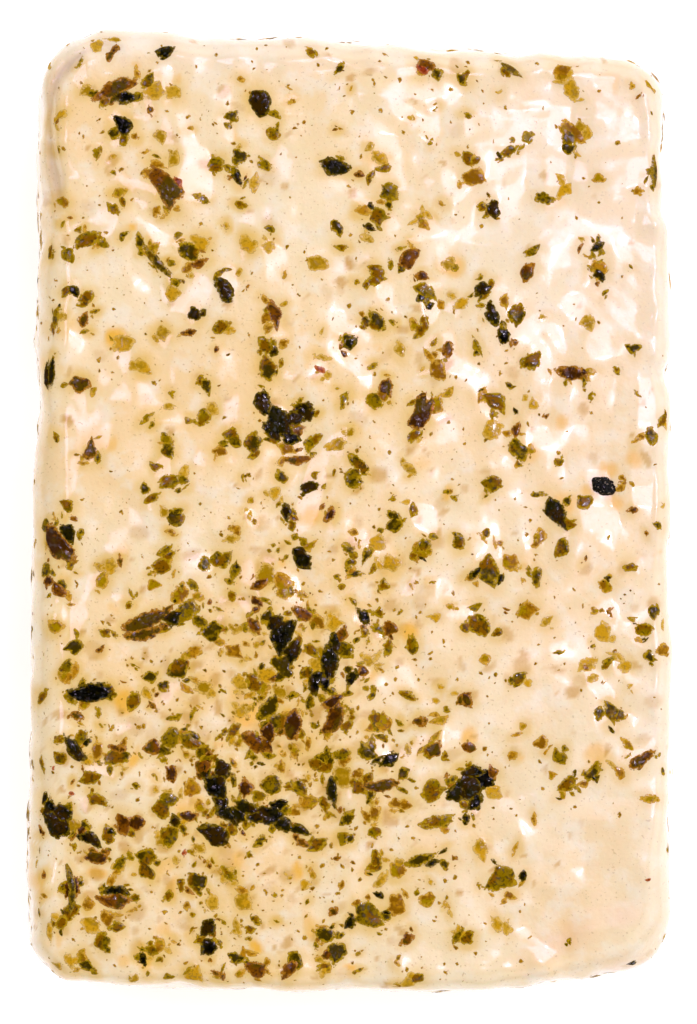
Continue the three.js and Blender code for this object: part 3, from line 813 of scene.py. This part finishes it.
def cheese_body(herbs):
    """The slab itself, which knows where herbs stain it and where they lie under its skin."""
    random = np.random.default_rng(79)
    body = make_mesh("cheese_body", slab_points, slab_quads.tolist() + slab_foot.tolist())
    halos = [(centre, facing, long + HALO_MARGIN, wide + HALO_MARGIN, turn, random.uniform(0.3, 1))
             for _, centre, facing, long, wide, turn in herbs]
    sunken = [(centre, facing, 0.7 * long, 0.7 * wide, turn, random.uniform(0.2, 0.8))
              for centre, facing, long, wide, turn
              in small_flakes(random, SUNKEN_FLAKES) + round_the_sides(random, SUNKEN_FLAKES)]
    amber = [on_top(x, y, size, size, 0, 1) for x, y, size in AMBER_SPOTS]
    amber += [(*flake, random.uniform(0.3, 1)) for flake in small_flakes(random, 60)]
    blushes = [on_top(*blush, 1) for blush in BLUSHES]

    level = slab_points.copy()
    level[np.abs(level[:, 2] - THICKNESS) < 3, 2] = THICKNESS
    ragged = level + 0.35 * np.stack([dimples.at(level + shift) for shift in (0, 40, 80)], axis=1)
    for name, spots, edge in (("halo", halos, 0.55), ("sunken", sunken, 0.3),
                              ("amber", amber, 0.5), ("blush", blushes, 0.9)):
        add_attribute(body, name, soft_spots(ragged, spots, edge))
    x, y = slab_points[:, 0], slab_points[:, 1]
    # Painted shade: how deep each point lies in the pleat, which darkens the cheese there
    add_attribute(body, "crease", pleat(x, y, inset_at(x, y)))
    # Painted light, lighter towards the right and far sides
    add_attribute(body, "paler", paler_sides(x, y))
    return body


# Materials

class Shade:
    """A value or colour in a shader, for use in plain arithmetic."""

    def __init__(self, paint, socket):
        self.paint = paint
        self.socket = socket

    def maths(self, operation, first, second):
        return self.paint.node("ShaderNodeMath", {"operation": operation}, {0: first, 1: second})

    def __add__(self, other):
        return self.maths("ADD", self, other)

    def __radd__(self, other):
        return self.maths("ADD", other, self)

    def __sub__(self, other):
        return self.maths("SUBTRACT", self, other)

    def __rsub__(self, other):
        return self.maths("SUBTRACT", other, self)

    def __mul__(self, other):
        return self.maths("MULTIPLY", self, other)

    def __rmul__(self, other):
        return self.maths("MULTIPLY", other, self)

    def ramp(self, low, high):
        """0 below low, 1 above high and a soft rise between."""
        settings = {"interpolation_type": "SMOOTHSTEP"}
        return self.paint.node("ShaderNodeMapRange", settings, {0: self, 1: low, 2: high})


class Paint:
    """The nodes of one material or world, built up on the shader that it starts with."""

    def __init__(self, owner, shader="Principled BSDF"):
        self.owner = owner
        owner.use_nodes = True
        self.tree = owner.node_tree
        self.shader = self.tree.nodes[shader]

    def feed(self, socket, value):
        if isinstance(value, Shade):
            self.tree.links.new(value.socket, socket)
        else:
            socket.default_value = value

    def node(self, kind, settings, values, output=0):
        made = self.tree.nodes.new(kind)
        for setting, value in settings.items():
            setattr(made, setting, value)
        for name, value in values.items():
            self.feed(made.inputs[name], value)
        return Shade(self, made.outputs[output])

    def mix(self, factor, first, second):
        settings = {"data_type": "RGBA"}
        return self.node("ShaderNodeMix", settings, {0: factor, 6: first, 7: second}, output=2)

    def attribute(self, name):
        return self.node("ShaderNodeAttribute", {"attribute_name": name}, {}, output="Fac")

    def noise(self, size, detail=2.0, roughness=0.5):
        """Soft noise whose features are about size millimetres across."""
        place = self.node("ShaderNodeTexCoord", {}, {}, output="Object")
        values = {"Vector": place, "Scale": 1 / (size * MM), "Detail": detail, "Roughness": roughness}
        return self.node("ShaderNodeTexNoise", {}, values)

    def bump(self, height, distance, strength=1.0):
        """Fine relief, height times distance millimetres."""
        values = {"Height": height, "Distance": distance * MM, "Strength": strength}
        return self.node("ShaderNodeBump", {}, values)

    def set(self, **values):
        for name, value in values.items():
            self.feed(self.shader.inputs[name.replace("_", " ")], value)


def new_paint(name):
    return Paint(bpy.data.materials.new(name))


def colour(red, green, blue):
    """A linear colour from the usual 0 to 255 values."""
    parts = [part / 255 for part in (red, green, blue)]
    return (*[part / 12.92 if part < 0.04 else ((part + 0.055) / 1.055) ** 2.4 for part in parts], 1)


def cheese_paint():
    """Pale cream cheese, a little see-through and wet, with yellow stains round its herbs and painted
    shading.
    """
    paint = new_paint("cheese")
    clouds = paint.noise(22, detail=3)
    mottle = paint.noise(3.5, detail=3, roughness=0.6)
    grain = paint.noise(0.5, detail=2)
    dust = paint.noise(0.35, detail=1)
    cream = paint.mix(clouds.ramp(0.35, 0.65), colour(246, 214, 148), colour(247, 226, 172))
    cream = paint.mix(mottle.ramp(0.45, 0.7) * 0.7, cream, colour(249, 236, 200))
    cream = paint.mix(grain.ramp(0.55, 0.75) * 0.1, cream, colour(228, 180, 120))
    cream = paint.mix(dust.ramp(0.66, 0.74) * 0.4, cream, colour(176, 136, 60))
    stains_and_painted_light = paint.mix(paint.attribute("halo") * (0.4 + 0.9 * mottle), cream, colour(230, 187, 70))
    stains_and_painted_light = paint.mix(paint.attribute("amber") * 0.9, stains_and_painted_light, colour(242, 182, 16))
    # Pinkish blushes: a stain, and painted shade where the soft corner slopes to the near edge
    stains_and_painted_light = paint.mix(paint.attribute("blush") * 0.3, stains_and_painted_light, colour(226, 176, 128))
    # Painted shade, brownish grey down in the pleat's crease
    stains_and_painted_light = paint.mix(paint.attribute("crease") * 0.5, stains_and_painted_light, colour(186, 150, 128))
    # Painted light: lighter and whiter towards the right and far sides, where the light falls
    stains_and_painted_light = paint.mix(paint.attribute("paler") * 0.55, stains_and_painted_light, colour(250, 238, 214))
    sunken = paint.attribute("sunken") * (0.5 + 0.9 * mottle)
    stains_and_painted_light = paint.mix(sunken, stains_and_painted_light, colour(204, 152, 36))
    paint.set(Base_Color=stains_and_painted_light, Roughness=0.3 + 0.2 * mottle)
    paint.set(Subsurface_Weight=0.25, Subsurface_Radius=(1.0, 0.6, 0.3), Subsurface_Scale=0.0012)
    paint.set(Coat_Weight=1.0, Coat_Roughness=0.1, IOR=1.42)
    paint.set(Normal=paint.bump(0.7 * mottle + 0.3 * grain, 0.12))
    return paint.owner


def leaf_paint(name, gloss, deep, plain, thin, turned):
    """Torn leaf, deep where it is thick, turned to another colour in parts, thin at its ragged rim.

    Its veins are wetter than the rest and glint.
    """
    deep, plain, thin, turned = [colour(*shade) for shade in (deep, plain, thin, turned)]
    paint = new_paint(name)
    tone = paint.attribute("tone")
    tears = paint.noise(0.65, detail=2, roughness=0.7)
    blotch = paint.noise(1.1, detail=2, roughness=0.7)
    ripeness = paint.noise(2.8, detail=1)
    veins = paint.noise(0.4, detail=1)
    inside = paint.attribute("inside") + 1.4 * tears - 0.68
    body = paint.mix((tone + 2.6 * blotch - 1.3).ramp(0.1, 0.85), deep, plain)
    body = paint.mix((ripeness + 0.12 * tone).ramp(0.54, 0.66), body, turned)
    body = paint.mix(veins.ramp(0.53, 0.63) * 0.7, body, deep)
    body = paint.mix((1.0 - inside.ramp(0.06, 0.48)) * (0.55 + blotch), body, thin)
    paint.set(Base_Color=body, Roughness=0.45 + 0.3 * veins, Alpha=inside.ramp(-0.04, 0.16))
    paint.set(Coat_Weight=gloss + 0.7 * veins.ramp(0.56, 0.64), Coat_Roughness=0.1)
    paint.set(Specular_IOR_Level=0.0, Normal=paint.bump(veins + 0.5 * blotch, 0.12))
    return paint.owner


def dark_leaf_paint():
    return leaf_paint("dark_leaf", gloss=0.07, deep=(5, 4, 0), plain=(34, 29, 0),
                      thin=(112, 90, 0), turned=(50, 32, 0))


def brown_leaf_paint():
    return leaf_paint("brown_leaf", gloss=0.16, deep=(62, 32, 0), plain=(118, 68, 2),
                      thin=(176, 120, 24), turned=(84, 62, 0))


def green_leaf_paint():
    return leaf_paint("green_leaf", gloss=0.1, deep=(62, 48, 0), plain=(134, 106, 0),
                      thin=(180, 144, 14), turned=(126, 82, 0))


def ochre_leaf_paint():
    return leaf_paint("ochre_leaf", gloss=0.08, deep=(134, 88, 2), plain=(180, 126, 14),
                      thin=(212, 164, 54), turned=(160, 127, 0))


def pale_leaf_paint():
    return leaf_paint("pale_leaf", gloss=0.05, deep=(160, 122, 4), plain=(196, 152, 34),
                      thin=(220, 180, 84), turned=(200, 150, 20))


def stem_paint():
    return leaf_paint("stem", gloss=0.2, deep=(56, 44, 0), plain=(110, 88, 2),
                      thin=(156, 124, 16), turned=(98, 68, 0))


def speck_paint():
    return leaf_paint("speck", gloss=0.05, deep=(78, 56, 0), plain=(150, 112, 6),
                      thin=(190, 146, 36), turned=(132, 84, 6))


def red_fleck_paint():
    return leaf_paint("red_fleck", gloss=0.3, deep=(84, 22, 6), plain=(146, 54, 16),
                      thin=(196, 110, 50), turned=(110, 50, 10))


def pepper_paint():
    """Black pepper skin, grey on its ridges, partly its own colour and partly painted glints."""
    paint = new_paint("pepper")
    ridges = paint.noise(0.36, detail=2, roughness=0.6)
    # Partly painted highlight: grey on the ridges stands in for glints on the wrinkled skin
    skin = paint.mix(ridges.ramp(0.58, 0.68), colour(8, 5, 2), colour(128, 114, 96))
    paint.set(Base_Color=skin, Roughness=0.4 + 0.3 * ridges, Specular_IOR_Level=0.0)
    paint.set(Coat_Weight=0.3, Coat_Roughness=0.08)
    paint.set(Normal=paint.bump(ridges, 0.12))
    return paint.owner


# Stage

def floor():
    reach = 1500
    corners = [(-reach, -reach, 0), (reach, -reach, 0), (reach, reach, 0), (-reach, reach, 0)]
    made = make_mesh("floor", corners, [(0, 1, 2, 3)], smooth=False)
    paint = new_paint("floor")
    paint.set(Base_Color=(0.95, 0.95, 0.95, 1), Roughness=0.9, Emission_Color=(1, 1, 1, 1))
    paint.set(Emission_Strength=0.42)
    made.data.materials.append(paint.owner)


def soft_light(name, place, size, radiance, tint):
    """A square area light, aimed at the slab."""
    data = bpy.data.lights.new(name, "AREA")
    data.shape = "SQUARE"
    data.color = tint
    data.size = size
    data.energy = math.pi * size * size * radiance
    light = bpy.data.objects.new(name, data)
    light.location = place
    light.rotation_euler = (-Vector(place)).to_track_quat("-Z", "Y").to_euler()
    bpy.context.scene.collection.objects.link(light)


def studio():
    """Light from halfway up, faintly pink and blue, more of it from the far right, and dim low down.

    The dim patch overhead keeps wet herbs dark from above.
    """
    world = bpy.data.worlds.new("studio")
    bpy.context.scene.world = world
    paint = Paint(world, "Background")
    direction = paint.node("ShaderNodeTexCoord", {}, {}, output="Generated")
    x, y, z = [paint.node("ShaderNodeSeparateXYZ", {}, {0: direction}, output=axis) for axis in "XYZ"]
    ring = 0.28 + 0.885 * z.ramp(0.05, 0.6) - 1.06 * z.ramp(0.8, 0.93)
    tint = paint.mix(z.ramp(0.1, 0.6), (1, 0.96, 1.15, 1), (0.995, 1, 1.07, 1))
    paint.set(Color=tint, Strength=ring * (1 + 0.4 * x + 0.25 * y))


def lights():
    """Soft lights that lie as glare in the wet skin, and a small bright one that makes leaves glint."""
    studio()
    soft_light("key", (0.14, 0.1, 0.577), 0.19, 4.8, (0.96, 0.76, 1.2))
    soft_light("spark", (0.1, 0.04, 0.577), 0.012, 170, (1, 0.94, 1.04))
    soft_light("left", (-0.17, 0.06, 0.57), 0.1, 5.5, (0.96, 0.76, 1.2))
    soft_light("near_veil", (0.11, -0.06, 0.577), 0.16, 0.9, (0.98, 0.8, 1.2))
    soft_light("far_veil", (0.12, 0.11, 0.577), 0.2, 1.1, (0.98, 0.8, 1.2))
    bpy.context.scene.view_settings.view_transform = "Standard"


def camera():
    """Straight above the slab, as in the photograph, which is 697 by 1024 pixels."""
    data = bpy.data.cameras.new("camera")
    data.sensor_fit = "VERTICAL"
    data.sensor_height = 24
    data.lens = 176
    made = bpy.data.objects.new("camera", data)
    made.location = (-0.18 * MM, -0.24 * MM, 916 * MM)
    bpy.context.scene.collection.objects.link(made)
    bpy.context.scene.camera = made


def dress(piece, paint):
    piece.data.materials.append(paint)
    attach(piece, "root")


all_herbs = gather_herbs()
cheese = cheese_body(all_herbs)
dress(cheese, cheese_paint())
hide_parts("cheese")

leaves = herb_pieces(all_herbs)
dress(leaves["dark"], dark_leaf_paint())
dress(leaves["brown"], brown_leaf_paint())
dress(leaves["green"], green_leaf_paint())
dress(leaves["ochre"], ochre_leaf_paint())
dress(leaves["pale"], pale_leaf_paint())
dress(leaves["stem"], stem_paint())
dress(specks(), speck_paint())
dress(red_flecks(), red_fleck_paint())
dress(peppercorn(), pepper_paint())

floor()
lights()
camera()
